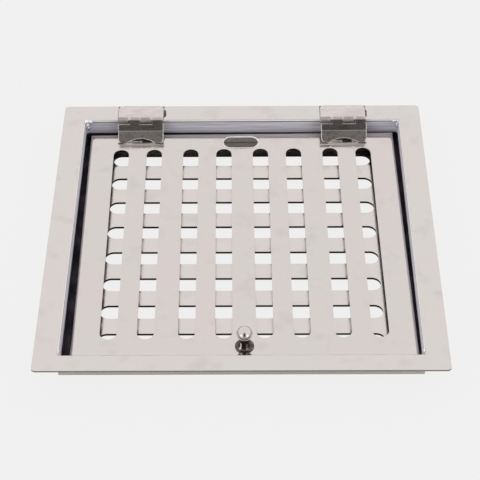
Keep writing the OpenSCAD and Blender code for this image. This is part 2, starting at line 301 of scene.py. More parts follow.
def level(tree, amount, first, second):
    return add_node(tree, "ShaderNodeMapRange", {"To Min": first, "To Max": second}, {"Value": amount}).outputs[0]


# %% [markdown]
# Cold-rolled stainless sheet has a soft polish on its two faces only. A face that
# was sheared or punched is painted dark, partly as its own torn cut and partly
# as painted shade along its edges, and a folded wall that the polishing wheel
# can't reach stays dull and a little blue. Deep in the gap round the lid the
# steel is painted nearly black, as painted shade of the gap, and this painted
# shade stays on the walls when the lid stands open. The direction in which a
# face looks tells flat faces from walls and cuts, and its place tells the cuts
# and the gap from the rest.

# %% Tell flat faces, walls and cut edges apart
FLAT_FROM = 0.45
FLAT_TO = 0.85
CUT_BELOW = 0.35


def flat_share(tree, where):
    way = add_node(tree, "ShaderNodeSeparateXYZ", None, {0: where.outputs["Normal"]})
    upright = add_node(tree, "ShaderNodeMath", {"operation": "ABSOLUTE"}, {0: way.outputs["Z"]})
    flat = add_node(tree, "ShaderNodeMapRange",
                    {"interpolation_type": "SMOOTHSTEP", "From Min": FLAT_FROM, "From Max": FLAT_TO},
                    {"Value": upright.outputs[0]})
    return upright.outputs[0], flat.outputs[0]


def distance_out(tree, where):
    place = add_node(tree, "ShaderNodeVectorMath", {"operation": "SUBTRACT", 1: RECESS_MIDDLE},
                     {0: where.outputs["Object"]})
    size = add_node(tree, "ShaderNodeVectorMath", {"operation": "ABSOLUTE"}, {0: place.outputs[0]})
    axes = add_node(tree, "ShaderNodeSeparateXYZ", None, {0: size.outputs[0]})
    return add_node(tree, "ShaderNodeMath", {"operation": "MAXIMUM"},
                    {0: axes.outputs["X"], 1: axes.outputs["Y"]}).outputs[0]


def cut_share(tree, where, upright, cut_zone, cuts_inside):
    operation = "LESS_THAN" if cuts_inside else "GREATER_THAN"
    zone = add_node(tree, "ShaderNodeMath", {"operation": operation, 1: cut_zone}, {0: distance_out(tree, where)})
    steep = add_node(tree, "ShaderNodeMath", {"operation": "LESS_THAN", 1: CUT_BELOW}, {0: upright})
    return add_node(tree, "ShaderNodeMath", {"operation": "MULTIPLY"},
                    {0: zone.outputs[0], 1: steep.outputs[0]}).outputs[0]


# Painted shade: a ring round the lid, below the lid's top, is painted near-black on the frame and the lower grate.
# It also shows when the lid is open.
def painted_gap_shade(tree, where):
    height = add_node(tree, "ShaderNodeSeparateXYZ", None, {0: where.outputs["Object"]}).outputs["Z"]
    low = add_node(tree, "ShaderNodeMapRange", {"From Min": GAP_TOP + GAP_FADE, "From Max": GAP_TOP},
                   {"Value": height})
    away = distance_out(tree, where)
    out = add_node(tree, "ShaderNodeMath", {"operation": "GREATER_THAN", 1: GAP_FROM}, {0: away})
    inside = add_node(tree, "ShaderNodeMath", {"operation": "LESS_THAN", 1: GAP_TO}, {0: away})
    ring = add_node(tree, "ShaderNodeMath", {"operation": "MULTIPLY"}, {0: out.outputs[0], 1: inside.outputs[0]})
    return add_node(tree, "ShaderNodeMath", {"operation": "MULTIPLY"},
                    {0: low.outputs[0], 1: ring.outputs[0]}).outputs[0]


RECESS_MIDDLE = (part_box("lower_grate")[0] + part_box("lower_grate")[1]) / 2
GAP_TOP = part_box("lid")[1].z - 3.4 * MM
GAP_FADE = 1.0 * MM
GAP_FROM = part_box("lower_grate")[1].x - 5.6 * MM
GAP_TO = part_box("lower_grate")[1].y + 1.3 * MM
print("a face counts as flat above", FLAT_TO, "and as a cut below", CUT_BELOW)

# %% [markdown]
# Inside the recess the walls stay as the press left them. Faint upright drawing
# lines run through a dull, slightly blue film, which scatters light as well as
# mirroring it, so the walls are greyer and paler than bare metal. Over the fold
# at their top a light band is painted, as a painted highlight on the bend, and a
# thin dark line is painted just below it. The skirt's outer side is painted a
# plain, darker warm grey, as painted shade under the flange.

# %% Walls of the frame
DRAWN_MM = 1.4
DRAWN_STRETCH = (0.03, 0.03, 1.0)
FOLD_LINE = (1.9 * MM, 2.7 * MM)
FOLD_TOP = 0.1 * MM
FOLD_FADE = 0.2 * MM
OUTSIDE_FROM = GAP_TO + 1.0 * MM
OUTSIDE_TO = GAP_TO + 1.4 * MM
# The light fold tone is a painted highlight on the bend. The dark fold tone is a thin painted line below it.
FOLD_HIGHLIGHT, FOLD_DARK, OUTSIDE_SHADE_TONE = "#FFFDFB", "#5E5A62", "#C4C0BA"


def drawn_wall(tree, where, wall_tones):
    along = add_node(tree, "ShaderNodeMapping", {"Scale": DRAWN_STRETCH}, {"Vector": where.outputs["Object"]})
    lines = add_node(tree, "ShaderNodeTexNoise", {"Scale": 1 / (DRAWN_MM * MM), "Detail": 2.0},
                     {"Vector": along.outputs[0]})
    spread = add_node(tree, "ShaderNodeMapRange", {"From Min": 0.35, "From Max": 0.65},
                      {"Value": lines.outputs["Fac"]})
    wall = tint(tree, spread.outputs[0], *wall_tones)
    place = add_node(tree, "ShaderNodeSeparateXYZ", None, {0: where.outputs["Object"]})
    depth = add_node(tree, "ShaderNodeMath", {"operation": "SUBTRACT", 0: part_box("frame")[1].z},
                     {1: place.outputs["Z"]})
    # A light band over the fold, painted as a highlight, and a thin dark line painted just below it.
    line = fading(tree, depth.outputs[0], *FOLD_LINE, FOLD_FADE)
    fold_highlight_share = fading(tree, depth.outputs[0], FOLD_TOP, FOLD_LINE[0], FOLD_FADE)
    wall = tint(tree, line, tint(tree, fold_highlight_share, wall, FOLD_HIGHLIGHT), FOLD_DARK)
    # The skirt's outer side is painted a darker grey, as painted shade under the flange.
    outside = add_node(tree, "ShaderNodeMapRange", {"From Min": OUTSIDE_FROM, "From Max": OUTSIDE_TO},
                       {"Value": distance_out(tree, where)})
    return tint(tree, outside.outputs[0], wall, OUTSIDE_SHADE_TONE)


print("the dark line lies", [round(x / MM, 1) for x in FOLD_LINE], "mm below the flange's top")

# %% [markdown]
# The polish is almost even. Where the wheel pressed harder the tone turns a touch
# pink, and where it pressed less a touch green, in patches a few centimetres
# wide. A fine grain in the bump keeps the mirror from looking like glass. The
# masks from above then lay the walls, the cut edges and the painted shade of the
# gap over it.

# %% Soft-polished stainless sheet
PATCH_MM = 42
TONE_MM = 17
GRAIN_MM = 0.8
GRAIN_DEPTH_MM = 0.004
DULL_SPOT = "#C9C2C0"
CUT_ROUGH = 0.55
SIDEWAYS = (0.8, 0.95)
# Near-black tones of the painted shade in the gap round the lid.
GAP_SHADE_TONES = ("#1C191D", "#3C373C")
GAP_SHADE_ROUGH = 0.5


# The cut tones are partly the cut's own colour and partly painted shade. side_cuts paints the sideways cuts
# lighter, as painted light.
def cut_colour(tree, where, cut_tones, side_cuts):
    edge = tint(tree, patches(tree, where, GRAIN_MM), *cut_tones)
    if not side_cuts:
        return edge
    facing = add_node(tree, "ShaderNodeSeparateXYZ", None, {0: where.outputs["Normal"]}).outputs["X"]
    sideways = add_node(tree, "ShaderNodeMath", {"operation": "ABSOLUTE"}, {0: facing})
    share = add_node(tree, "ShaderNodeMapRange", {"From Min": SIDEWAYS[0], "From Max": SIDEWAYS[1]},
                     {"Value": sideways.outputs[0]})
    return tint(tree, share.outputs[0], edge, side_cuts)


def polished_sheet(name, face_tones, flat_rough, wall_tones, wall_rough, cut_zone, cuts_inside,
                   cut_tones, paints_gap_shade=True, wall_metal=1.0, side_cuts=None):
    material, tree, where = begin_finish(name)
    upright, flat = flat_share(tree, where)
    cut = cut_share(tree, where, upright, cut_zone, cuts_inside)
    face = tint(tree, patches(tree, where, PATCH_MM), *face_tones)
    face = tint(tree, patches(tree, where, TONE_MM, 3.0, 0.55, 0.95), face, DULL_SPOT)
    wall = drawn_wall(tree, where, wall_tones)
    colour = tint(tree, cut, tint(tree, flat, wall, face), cut_colour(tree, where, cut_tones, side_cuts))
    rough = level(tree, patches(tree, where, TONE_MM), *flat_rough)
    rough = add_node(tree, "ShaderNodeMix", {"data_type": "FLOAT", 2: wall_rough}, {0: flat, 3: rough}).outputs[0]
    rough = add_node(tree, "ShaderNodeMix", {"data_type": "FLOAT", 3: CUT_ROUGH}, {0: cut, 2: rough}).outputs[0]
    # Painted shade of the gap round the lid.
    if paints_gap_shade:
        gap = painted_gap_shade(tree, where)
        colour = tint(tree, gap, colour, tint(tree, patches(tree, where, TONE_MM), *GAP_SHADE_TONES))
        rough = add_node(tree, "ShaderNodeMix", {"data_type": "FLOAT", 3: GAP_SHADE_ROUGH}, {0: gap, 2: rough}).outputs[0]
    grain = patches(tree, where, GRAIN_MM, 2.0, 0.0, 1.0)
    bump = add_node(tree, "ShaderNodeBump", {"Strength": 0.5, "Distance": GRAIN_DEPTH_MM * MM}, {"Height": grain})
    film = add_node(tree, "ShaderNodeMix", {"data_type": "FLOAT", 2: wall_metal, 3: 1.0}, {0: flat}).outputs[0]
    end_finish(tree, colour, rough, bump.outputs[0], film)
    return material


print("the polish varies over", PATCH_MM, "mm, its grain over", GRAIN_MM, "mm")

# %% [markdown]
# Three sheets get this finish. The lid is the glossiest, and its punched slots
# are painted nearly black inside, partly as the cut itself and partly as painted
# shade along the slot edges. Its cuts that face sideways are painted lighter
# grey, as painted light on the dark slot sides. The frame is a little duller.
# The lower grate is the dullest, because it lies deep in the recess where a
# polishing wheel hardly reaches, and its cuts are painted blackest, partly as
# painted shade.

# %% Dress the three sheets
EDGE_BAND = 2.5 * MM
LID_MARGIN = 8 * MM


def dress(node_name, material):
    slots = nodes[node_name].material_slots
    for slot in slots:
        slot.material = material
    print(node_name, "wears", material.name, "on", len(slots), "slots")


flange_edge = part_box("frame")[1].x - EDGE_BAND
slots_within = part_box("lid")[1].x - LID_MARGIN
frame_sheet = polished_sheet(
    "soft-polished frame sheet", face_tones=("#DAD1CF", "#D7D3CE"), flat_rough=(0.14, 0.22),
    wall_tones=("#F0EEF6", "#D0CDD8"), wall_rough=0.7, wall_metal=0.25,
    cut_zone=flange_edge, cuts_inside=False, cut_tones=("#76716D", "#8E8985"))
lid_sheet = polished_sheet(
    "soft-polished lid sheet", face_tones=("#D8CECC", "#D5D0CB"), flat_rough=(0.08, 0.15),
    wall_tones=("#DAD7DA", "#CAC7CB"), wall_rough=0.45, paints_gap_shade=False,
    # Near-black slot cuts, partly painted shade. The lighter sideways cuts are painted light.
    cut_zone=slots_within, cuts_inside=True, cut_tones=("#1B1817", "#2E2A28"), side_cuts="#9A9693")
grate_sheet = polished_sheet(
    "soft-polished grate sheet", face_tones=("#DBD2CF", "#D8D2CE"), flat_rough=(0.16, 0.24),
    wall_tones=("#8E8A88", "#A09C9A"), wall_rough=0.4,
    # Blackest cuts, partly painted shade deep in the recess.
    cut_zone=slots_within, cuts_inside=True, cut_tones=("#141211", "#242120"))
dress("frame", frame_sheet)
dress("lid", lid_sheet)
dress("lower_grate", grate_sheet)

# %% [markdown]
# A hinge leaf is one strip: punched, folded, and rolled round the pin at one end.
# It is made here in the same order. The blank starts as a few corner points. Its
# hollow lower edge is one point spun about the hollow's centre, and its round
# corners are bevelled points. The flat face then gets its thickness, and last its
# edges are rounded over, because that rounding catches the bright room as a thin
# light line round the leaf.

# %% Punch the blank of a leaf
PIN_LOW, PIN_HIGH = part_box("left_hinge_pin")
AXIS_Y = (PIN_LOW.y + PIN_HIGH.y) / 2
AXIS_Z = (PIN_LOW.z + PIN_HIGH.z) / 2
LEAF_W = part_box("left_frame_leaf")[1].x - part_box("left_frame_leaf")[0].x
LEAF_T = 1.2 * MM
BORE_R = 1.3 * MM
ROLL_R = BORE_R + LEAF_T
KNUCKLE_STEP = LEAF_W / 4
KNUCKLE_GAP = 0.9 * MM
NOTCH_DEPTH = ROLL_R + 0.5 * MM
RIM_MM = 0.5
FRAME_RIM_MM = 0.25


def knuckle_spans(first):
    starts = [step * KNUCKLE_STEP - LEAF_W / 2 for step in (first, first + 2)]
    return [(start, start + KNUCKLE_STEP - KNUCKLE_GAP) for start in starts]


def hollow_edge(form, length, wide, deep):
    radius = (wide * wide / 4 + deep * deep) / (2 * deep)
    half_turn = math.asin(wide / 2 / radius)
    first = form.verts.new((wide / 2, -length, 0))
    bmesh.ops.spin(form, geom=[first], cent=(0, deep - radius - length, 0), axis=(0, 0, 1),
                   angle=2 * half_turn, steps=14)
    form.verts.ensure_lookup_table()
    return list(form.verts)


def punch_blank(form, length, first, corner_r, hollow):
    half = LEAF_W / 2
    lower = hollow_edge(form, length, *hollow) if hollow else []
    around = []
    reached = -half
    for start, end in knuckle_spans(first):
        around += [(reached, -NOTCH_DEPTH), (start, -NOTCH_DEPTH)] if start > reached else []
        around += [(start, 0), (end, 0)]
        reached = end
    around += [(reached, -NOTCH_DEPTH), (half, -NOTCH_DEPTH), (half, -length)]
    ring = [form.verts.new((x, y, 0)) for x, y in around] + lower + [form.verts.new((-half, -length, 0))]
    for here, there in zip(ring, ring[1:] + ring[:1]):
        if not any(there in edge.verts for edge in here.link_edges):
            form.edges.new((here, there))
    bmesh.ops.contextual_create(form, geom=form.edges[:])
    corners = [v for v in ring if abs(abs(v.co.x) - half) < 1e-6 and abs(v.co.y + length) < 1e-6]
    bmesh.ops.bevel(form, geom=corners, affect="VERTICES", offset=corner_r, segments=6, profile=0.5, material=-1)


print("leaf", round(LEAF_W / MM, 1), "mm wide, pin axis at", round(AXIS_Y / MM, 2), round(AXIS_Z / MM, 2))

# %% [markdown]
# The knuckles are the leaf's own sheet, rolled back. A small rectangle, the
# section of the sheet across one knuckle, is spun about the pin until it almost
# meets the leaf again. Above its foot a lid leaf is folded once along one line,
# with a cut close on either side, from its steeper upper slope to its lower one.

# %% Thicken, fold and roll a leaf
ROLL_SWEEP = math.radians(296)
FOLD_REACH = 0.7 * MM


NEAR = 1e-6


def thicken(form, rim):
    bmesh.ops.solidify(form, geom=form.faces[:], thickness=LEAF_T)
    bmesh.ops.recalc_face_normals(form, faces=form.faces)
    outer = max(v.co.z for v in form.verts)
    inner = min(v.co.z for v in form.verts)
    bmesh.ops.translate(form, verts=form.verts, vec=(0, 0, ROLL_R - outer))
    print("sheet is", round((outer - inner) / MM, 2), "mm thick")
    round_over = []
    for edge in form.edges:
        ups = sorted(abs(face.normal.z) for face in edge.link_faces)
        at_roll = all(abs(v.co.y) < NEAR for v in edge.verts)
        if len(ups) == 2 and ups[0] < 0.5 < ups[1] and not at_roll:
            round_over.append(edge)
    rounded = bmesh.ops.bevel(form, geom=round_over, affect="EDGES", offset=rim, segments=3, profile=0.5,
                              material=-1)
    # The rounded lower rim takes the second material. On the lid leaves it is painted bright, as a painted
    # highlight.
    for face in rounded["faces"]:
        if face.calc_center_median().y < -NOTCH_DEPTH - 0.3 * MM:
            face.material_index = 1


def fold(form, along, turn):
    for line in [along + step * FOLD_REACH for step in (-1, 0, 1)]:
        bmesh.ops.bisect_plane(form, geom=form.verts[:] + form.edges[:] + form.faces[:], dist=1e-7,
                               plane_co=(0, -line, 0), plane_no=(0, 1, 0))
    below = [v for v in form.verts if v.co.y < -along + NEAR]
    bmesh.ops.rotate(form, verts=below, cent=(0, -along, ROLL_R), matrix=Matrix.Rotation(turn, 3, "X"))


def roll_knuckle(form, start, end):
    made = bmesh.ops.create_grid(form, x_segments=1, y_segments=1, size=0.5)["verts"]
    bmesh.ops.scale(form, verts=made, vec=(end - start, LEAF_T, 1))
    bmesh.ops.rotate(form, verts=made, cent=(0, 0, 0), matrix=Matrix.Rotation(math.pi / 2, 3, "X"))
    bmesh.ops.translate(form, verts=made, vec=((start + end) / 2, 0, BORE_R + LEAF_T / 2))
    outer = [v for v in made if v.co.z > ROLL_R - NEAR]
    bmesh.ops.bevel(form, geom=outer, affect="VERTICES", offset=0.25 * MM, segments=2, profile=0.5, material=-1)
    section = [face for face in form.faces if all(abs(v.co.y) < 1e-7 for v in face.verts)
               and start - NEAR < face.calc_center_median().x < end + NEAR]
    geom = section + [e for f in section for e in f.edges] + [v for f in section for v in f.verts]
    bmesh.ops.spin(form, geom=list(dict.fromkeys(geom)), cent=(0, 0, 0), axis=(1, 0, 0),
                   angle=-ROLL_SWEEP, steps=36)


def finish_piece(form, name, finishes, body, even=False, sharp_degrees=40):
    bmesh.ops.recalc_face_normals(form, faces=form.faces)
    mesh = bpy.data.meshes.new(name)
    form.to_mesh(mesh)
    form.free()
    for finish in finishes:
        mesh.materials.append(finish)
    mesh.shade_smooth()
    mesh.set_sharp_from_angle(angle=math.radians(sharp_degrees))
    piece = bpy.data.objects.new(name, mesh)
    bpy.context.scene.collection.objects.link(piece)
    if even:
        piece.modifiers.new("even shading", "WEIGHTED_NORMAL").keep_sharp = True
    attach(piece, body)
    print(name, "has", len(mesh.polygons), "faces")
    return piece


# %% [markdown]
# The leaves are pressed stainless. Those on the frame are rubbed down with it and
# are light and dull. Those on the lid were heated by their welds, which leaves
# brown and grey clouds and a surface that bends what it mirrors. Above the fold
# the clouds are painted darker, as a painted dark reflection. The lid leaves'
# lower rims, a faint line along the fold and the tops of the knuckles are painted
# bright, as painted highlights.

# %% Finishes of the hinge leaves
CLOUD_MM = 4.0
FLECK_MM = 1.1
CREASE_Z = 17.6 * MM
CREASE_HALF = 0.25 * MM
CREASE_SHARE = 0.45
# Above this height the knuckles are painted bright, as a painted highlight.
CROWN_Z = AXIS_Z + 0.55 * ROLL_R
WAVE_DEPTH_MM = 0.02
STILL_DEPTH_MM = 0.004
# Darker tones painted above the fold, as a painted dark reflection.
UPPER_DARK_REFLECTION = ("#A49C97", "#6C6460")
# Tone and roughness of the painted highlights on the lid leaves.
LEAF_HIGHLIGHT_TONE = "#E6DFDC"
LEAF_HIGHLIGHT_ROUGH = 0.55


# Painted highlights: a faint light line along the fold and the bright tops of the knuckles.
def painted_highlight_share(tree, height):
    crease = fading(tree, height, CREASE_Z - CREASE_HALF, CREASE_Z + CREASE_HALF, 0.15 * MM)
    crown = add_node(tree, "ShaderNodeMapRange", {"From Min": CROWN_Z, "From Max": CROWN_Z + 0.5 * MM},
                     {"Value": height}).outputs[0]
    faint = add_node(tree, "ShaderNodeMath", {"operation": "MULTIPLY", 1: CREASE_SHARE}, {0: crease}).outputs[0]
    return add_node(tree, "ShaderNodeMath", {"operation": "MAXIMUM"}, {0: faint, 1: crown}).outputs[0]


def leaf_clouds(tree, where):
    across = add_node(tree, "ShaderNodeMapping", {"Scale": (0.35, 1.0, 1.0)},
                      {"Vector": where.outputs["Object"]})
    drawn = add_node(tree, "ShaderNodeTexNoise",
                     {"Scale": 1 / (CLOUD_MM * MM), "Detail": 5.0, "Roughness": 0.65},
                     {"Vector": across.outputs[0]})
    return add_node(tree, "ShaderNodeMapRange", {"From Min": 0.36, "From Max": 0.62},
                    {"Value": drawn.outputs["Fac"]}).outputs[0]


def pressed_leaf(name, tones, flecks, roughs, depth_mm, rubbed=False):
    material, tree, where = begin_finish(name)
    cloud = leaf_clouds(tree, where)
    fleck = patches(tree, where, FLECK_MM, 3.0, 0.58, 0.75)
    colour = tint(tree, fleck, tint(tree, cloud, *tones), flecks)
    rough = level(tree, cloud, *roughs)
    if rubbed:
        height = add_node(tree, "ShaderNodeSeparateXYZ", None, {0: where.outputs["Object"]}).outputs["Z"]
        # Above the fold the leaf is painted darker, as a painted dark reflection.
        above = add_node(tree, "ShaderNodeMapRange",
                         {"From Min": CREASE_Z + 0.2 * MM, "From Max": CREASE_Z + 0.9 * MM},
                         {"Value": height}).outputs[0]
        colour = tint(tree, above, colour, tint(tree, cloud, *UPPER_DARK_REFLECTION))
        # Painted highlights on the fold line and the knuckle tops.
        glint = painted_highlight_share(tree, height)
        colour = tint(tree, glint, colour, LEAF_HIGHLIGHT_TONE)
        rough = add_node(tree, "ShaderNodeMix", {"data_type": "FLOAT", 3: LEAF_HIGHLIGHT_ROUGH},
                         {0: glint, 2: rough}).outputs[0]
    bump = add_node(tree, "ShaderNodeBump", {"Strength": 0.6, "Distance": depth_mm * MM}, {"Height": cloud})
    end_finish(tree, colour, rough, bump.outputs[0])
    return material


dull_leaf = pressed_leaf("rubbed-down hinge leaf", ("#E2D9D7", "#DAD2D0"), "#C0B9B7", (0.55, 0.65),
                         STILL_DEPTH_MM)
# rubbed=True paints the dark reflection above the fold and the highlights on the fold line and the knuckle tops.
heated_leaf = pressed_leaf("heat-clouded hinge leaf", ("#D8D1CD", "#7C746F"), "#5E5652", (0.14, 0.42),
                           WAVE_DEPTH_MM, rubbed=True)
# Painted highlight on the lid leaves' rims, and the plate's own bright ring.
rim_highlight_and_plate_ring = pressed_leaf("leaf rim painted as highlight, plate ring polished", ("#FBF8F6", "#E6E1DE"), "#A39D99", (0.45, 0.6),
                          STILL_DEPTH_MM)
print("leaf finishes:", dull_leaf.name + ",", heated_leaf.name + ",", rim_highlight_and_plate_ring.name)

# %% [markdown]
# Each leaf is made flat at the origin, rolled, and then turned to its slope at
# the pin. A frame leaf lies flat, knuckles forward. A lid leaf is cut off level
# with the lid's top, so that its foot stands on the lid.

# %% Make the four leaves
FRAME_LEAF_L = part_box("left_frame_leaf")[1].y - AXIS_Y
FRAME_LEAF_CORNER = 4.0 * MM
UPPER_SLOPE = math.radians(55)
LOWER_SLOPE = math.radians(47.5)
UPPER_L = 9.4 * MM
LID_LEAF_CORNER = 4.0 * MM
HOLLOW = (24.6 * MM, 3.9 * MM)
LID_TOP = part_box("lid")[1].z
FOLD_Z = AXIS_Z + ROLL_R * math.cos(UPPER_SLOPE) - UPPER_L * math.sin(UPPER_SLOPE)
LOWER_L = (FOLD_Z - LID_TOP) / math.sin(LOWER_SLOPE)


def place_leaf(form, node_name, slope):
    low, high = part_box(node_name)
    place = Matrix.Translation(((low.x + high.x) / 2, AXIS_Y, AXIS_Z)) @ Matrix.Rotation(slope, 4, "X")
    bmesh.ops.transform(form, matrix=place, verts=form.verts)


def frame_leaf(node_name):
    form = bmesh.new()
    punch_blank(form, FRAME_LEAF_L, 0, FRAME_LEAF_CORNER, None)
    thicken(form, FRAME_RIM_MM * MM)
    for start, end in knuckle_spans(0):
        roll_knuckle(form, start, end)
    place_leaf(form, node_name, math.pi)
    piece = finish_piece(form, node_name + "_rolled", [dull_leaf, dull_leaf], nodes[node_name]["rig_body"],
                         even=True)
    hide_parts(node_name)


def lid_leaf(node_name):
    form = bmesh.new()
    punch_blank(form, UPPER_L + LOWER_L, 1, LID_LEAF_CORNER, HOLLOW)
    thicken(form, RIM_MM * MM)
    fold(form, UPPER_L, LOWER_SLOPE - UPPER_SLOPE)
    for start, end in knuckle_spans(1):
        roll_knuckle(form, start, end)
    place_leaf(form, node_name, UPPER_SLOPE)
    cut = bmesh.ops.bisect_plane(form, geom=form.verts[:] + form.edges[:] + form.faces[:], dist=1e-7,
                                 plane_co=(0, 0, LID_TOP), plane_no=(0, 0, 1), clear_inner=True)
    bmesh.ops.contextual_create(form, geom=[e for e in cut["geom_cut"] if isinstance(e, bmesh.types.BMEdge)])
    piece = finish_piece(form, node_name + "_rolled", [heated_leaf, rim_highlight_and_plate_ring], nodes[node_name]["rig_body"],
                         even=True)
    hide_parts(node_name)


for side in ("left", "right"):
    frame_leaf(f"{side}_frame_leaf")
    lid_leaf(f"{side}_lid_leaf")

# %% [markdown]
# The knob was turned from bar in one go, so it is one outline spun about its own
# axis. The outline starts at the screw's bore and runs round the foot, up the
# hollow flare and the stem, and over the ball. Each arc is one point spun about
# that arc's centre.

# %% Turn the knob
KNOB_LOW, KNOB_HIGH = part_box("knob")
KNOB_MIDDLE = ((KNOB_LOW.x + KNOB_HIGH.x) / 2, (KNOB_LOW.y + KNOB_HIGH.y) / 2)
FOOT_R = (KNOB_HIGH.x - KNOB_LOW.x) / 2
FOOT_T = 0.7 * MM
FLARE_R = 3.0 * MM
STEM_TOP = 6.75 * MM
NECK_R, NECK_Z = 3.3 * MM, 7.55 * MM
BALL_R = 5.85 * MM
BALL_Z = KNOB_HIGH.z - KNOB_LOW.z - BALL_R
SCREW_BORE = (2.05 * MM, 7.05 * MM)
FOOT_CHAMFER = 0.15 * MM
FLARE_INSET = 0.2 * MM


def line_to(form, last, radius, height):
    point = form.verts.new((radius, 0, height))
    form.edges.new((last, point))
    return point


def arc_on(form, last, centre_radius, centre_height, turn, steps):
    made = bmesh.ops.spin(form, geom=[last], cent=(centre_radius, 0, centre_height), axis=(0, 1, 0),
                          angle=turn, steps=steps)
    return [item for item in made["geom_last"] if isinstance(item, bmesh.types.BMVert)][0]


def turn_knob():
    form = bmesh.new()
    last = form.verts.new((0, 0, SCREW_BORE[1]))
    last = line_to(form, last, SCREW_BORE[0], SCREW_BORE[1])
    last = line_to(form, last, SCREW_BORE[0], 0)
    last = line_to(form, last, FOOT_R - FOOT_CHAMFER, 0)
    last = line_to(form, last, FOOT_R, FOOT_CHAMFER)
    last = line_to(form, last, FOOT_R, FOOT_T - FLARE_INSET)
    last = line_to(form, last, FOOT_R - FLARE_INSET, FOOT_T)
    last = arc_on(form, last, FOOT_R - FLARE_INSET, FOOT_T + FLARE_R, math.pi / 2, 12)
    last = line_to(form, last, FOOT_R - FLARE_INSET - FLARE_R, STEM_TOP)
    last = line_to(form, last, NECK_R, NECK_Z)
    drop = math.sqrt(BALL_R ** 2 - NECK_R ** 2)
    last = line_to(form, last, NECK_R, BALL_Z - drop)
    last = arc_on(form, last, 0, BALL_Z, -(math.pi - math.asin(NECK_R / BALL_R)), 28)
    bmesh.ops.spin(form, geom=form.verts[:] + form.edges[:], cent=(0, 0, 0), axis=(0, 0, 1),
                   angle=math.tau, steps=72, use_merge=True)
    bmesh.ops.remove_doubles(form, verts=form.verts, dist=0.001 * MM)
    bmesh.ops.translate(form, verts=form.verts, vec=(*KNOB_MIDDLE, KNOB_LOW.z))
    return form


print("ball is", round(2 * BALL_R / MM, 1), "mm wide, its middle", round(BALL_Z / MM, 2), "mm above the lid")

# %% [markdown]
# The ball is turned stainless polished like a mirror. The stem and the flare are
# dark brown and black, darker towards the foot, and that dark colour reaches
# over the ball's lower part as painted shade. Two light streaks at fixed places
# on the stem's front are painted highlights.

# %% Finish of the knob
STREAK_MM = 1.6
# Below this height the ball's lower part takes the dark stem colour, as painted shade.
BALL_SHADE_TOP = BALL_Z - 0.42 * BALL_R
BALL_SHADE_FADED = BALL_Z - 0.22 * BALL_R
# Two light streaks at fixed headings on the stem's front, painted as highlights.
STEM_HIGHLIGHTS = ((-0.74, 0.13, 1.0), (0.42, 0.16, 0.22))
STEM_HIGHLIGHT_HEIGHT = (1.3 * MM, 6.2 * MM)
BALL_TONE, STEM_HIGHLIGHT_TONE, FOOT_TONE = "#D3CCCA", "#FFFBF7", "#3A322F"
DARK_STEM_TONES = ("#736A65", "#453D39")
DARK_STEM_ROUGH, BALL_ROUGH = 0.2, 0.035


# Paints highlight streaks on the stem's front.
def add_stem_highlights(tree, dark_stem, axes):
    front = add_node(tree, "ShaderNodeMath", {"operation": "MULTIPLY", 1: -1.0}, {0: axes.outputs["Y"]})
    heading = add_node(tree, "ShaderNodeMath", {"operation": "ARCTAN2"},
                       {0: axes.outputs["X"], 1: front.outputs[0]}).outputs[0]
    stretch = fading(tree, axes.outputs["Z"], *STEM_HIGHLIGHT_HEIGHT, 0.5 * MM)
    for middle, half, strength in STEM_HIGHLIGHTS:
        strip = fading(tree, heading, middle - half, middle + half, 0.06)
        glint = add_node(tree, "ShaderNodeMath", {"operation": "MULTIPLY"}, {0: strip, 1: stretch})
        part = add_node(tree, "ShaderNodeMath", {"operation": "MULTIPLY", 1: strength}, {0: glint.outputs[0]})
        dark_stem = tint(tree, part.outputs[0], dark_stem, STEM_HIGHLIGHT_TONE)
    return dark_stem


def turned_knob_finish():
    material, tree, where = begin_finish("turned stainless, mirror ball on a dark stem")
    centred = add_node(tree, "ShaderNodeVectorMath", {"operation": "SUBTRACT", 1: (*KNOB_MIDDLE, KNOB_LOW.z)},
                       {0: where.outputs["Object"]})
    axes = add_node(tree, "ShaderNodeSeparateXYZ", None, {0: centred.outputs[0]})
    height = axes.outputs["Z"]
    ball = add_node(tree, "ShaderNodeMapRange", {"From Min": BALL_SHADE_TOP, "From Max": BALL_SHADE_FADED},
                    {"Value": height}).outputs[0]
    flare = add_node(tree, "ShaderNodeMapRange", {"From Min": 2.6 * MM, "From Max": 0.8 * MM},
                     {"Value": height}).outputs[0]
    dark_stem = tint(tree, flare, FOOT_TONE, tint(tree, patches(tree, where, STREAK_MM, 3.0), *DARK_STEM_TONES))
    # The ball's lower part is painted dark, as painted shade.
    colour = tint(tree, ball, add_stem_highlights(tree, dark_stem, axes), BALL_TONE)
    rough = add_node(tree, "ShaderNodeMix", {"data_type": "FLOAT", 2: DARK_STEM_ROUGH, 3: BALL_ROUGH},
                     {0: ball}).outputs[0]
    end_finish(tree, colour, rough)
    return material


knob_finish = turned_knob_finish()
knob = finish_piece(turn_knob(), "knob_turned", [knob_finish], nodes["knob"]["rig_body"])
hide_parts("knob")

# %% [markdown]
# The pins are drawn stainless wire, the screw and its washer are zinc-plated
# steel. They hide under the lid and in the knuckles, and show only when the lid
# stands open, so each gets a quiet finish of its own: fine lines along the wire,
# and the faint blue and yellow clouds of zinc.

# %% Finishes of the small parts
WIRE_MM = 0.25
ZINC_MM = 1.8


def drawn_wire():
    material, tree, where = begin_finish("drawn stainless wire")
    along = add_node(tree, "ShaderNodeMapping", {"Scale": (0.05, 1.0, 1.0)}, {"Vector": where.outputs["Object"]})
    lines = add_node(tree, "ShaderNodeTexNoise", {"Scale": 1 / (WIRE_MM * MM), "Detail": 2.0},
                     {"Vector": along.outputs[0]})
    end_finish(tree, tint(tree, lines.outputs["Fac"], "#B9B5B3", "#DAD6D4"),
               level(tree, lines.outputs["Fac"], 0.18, 0.34))
    return material


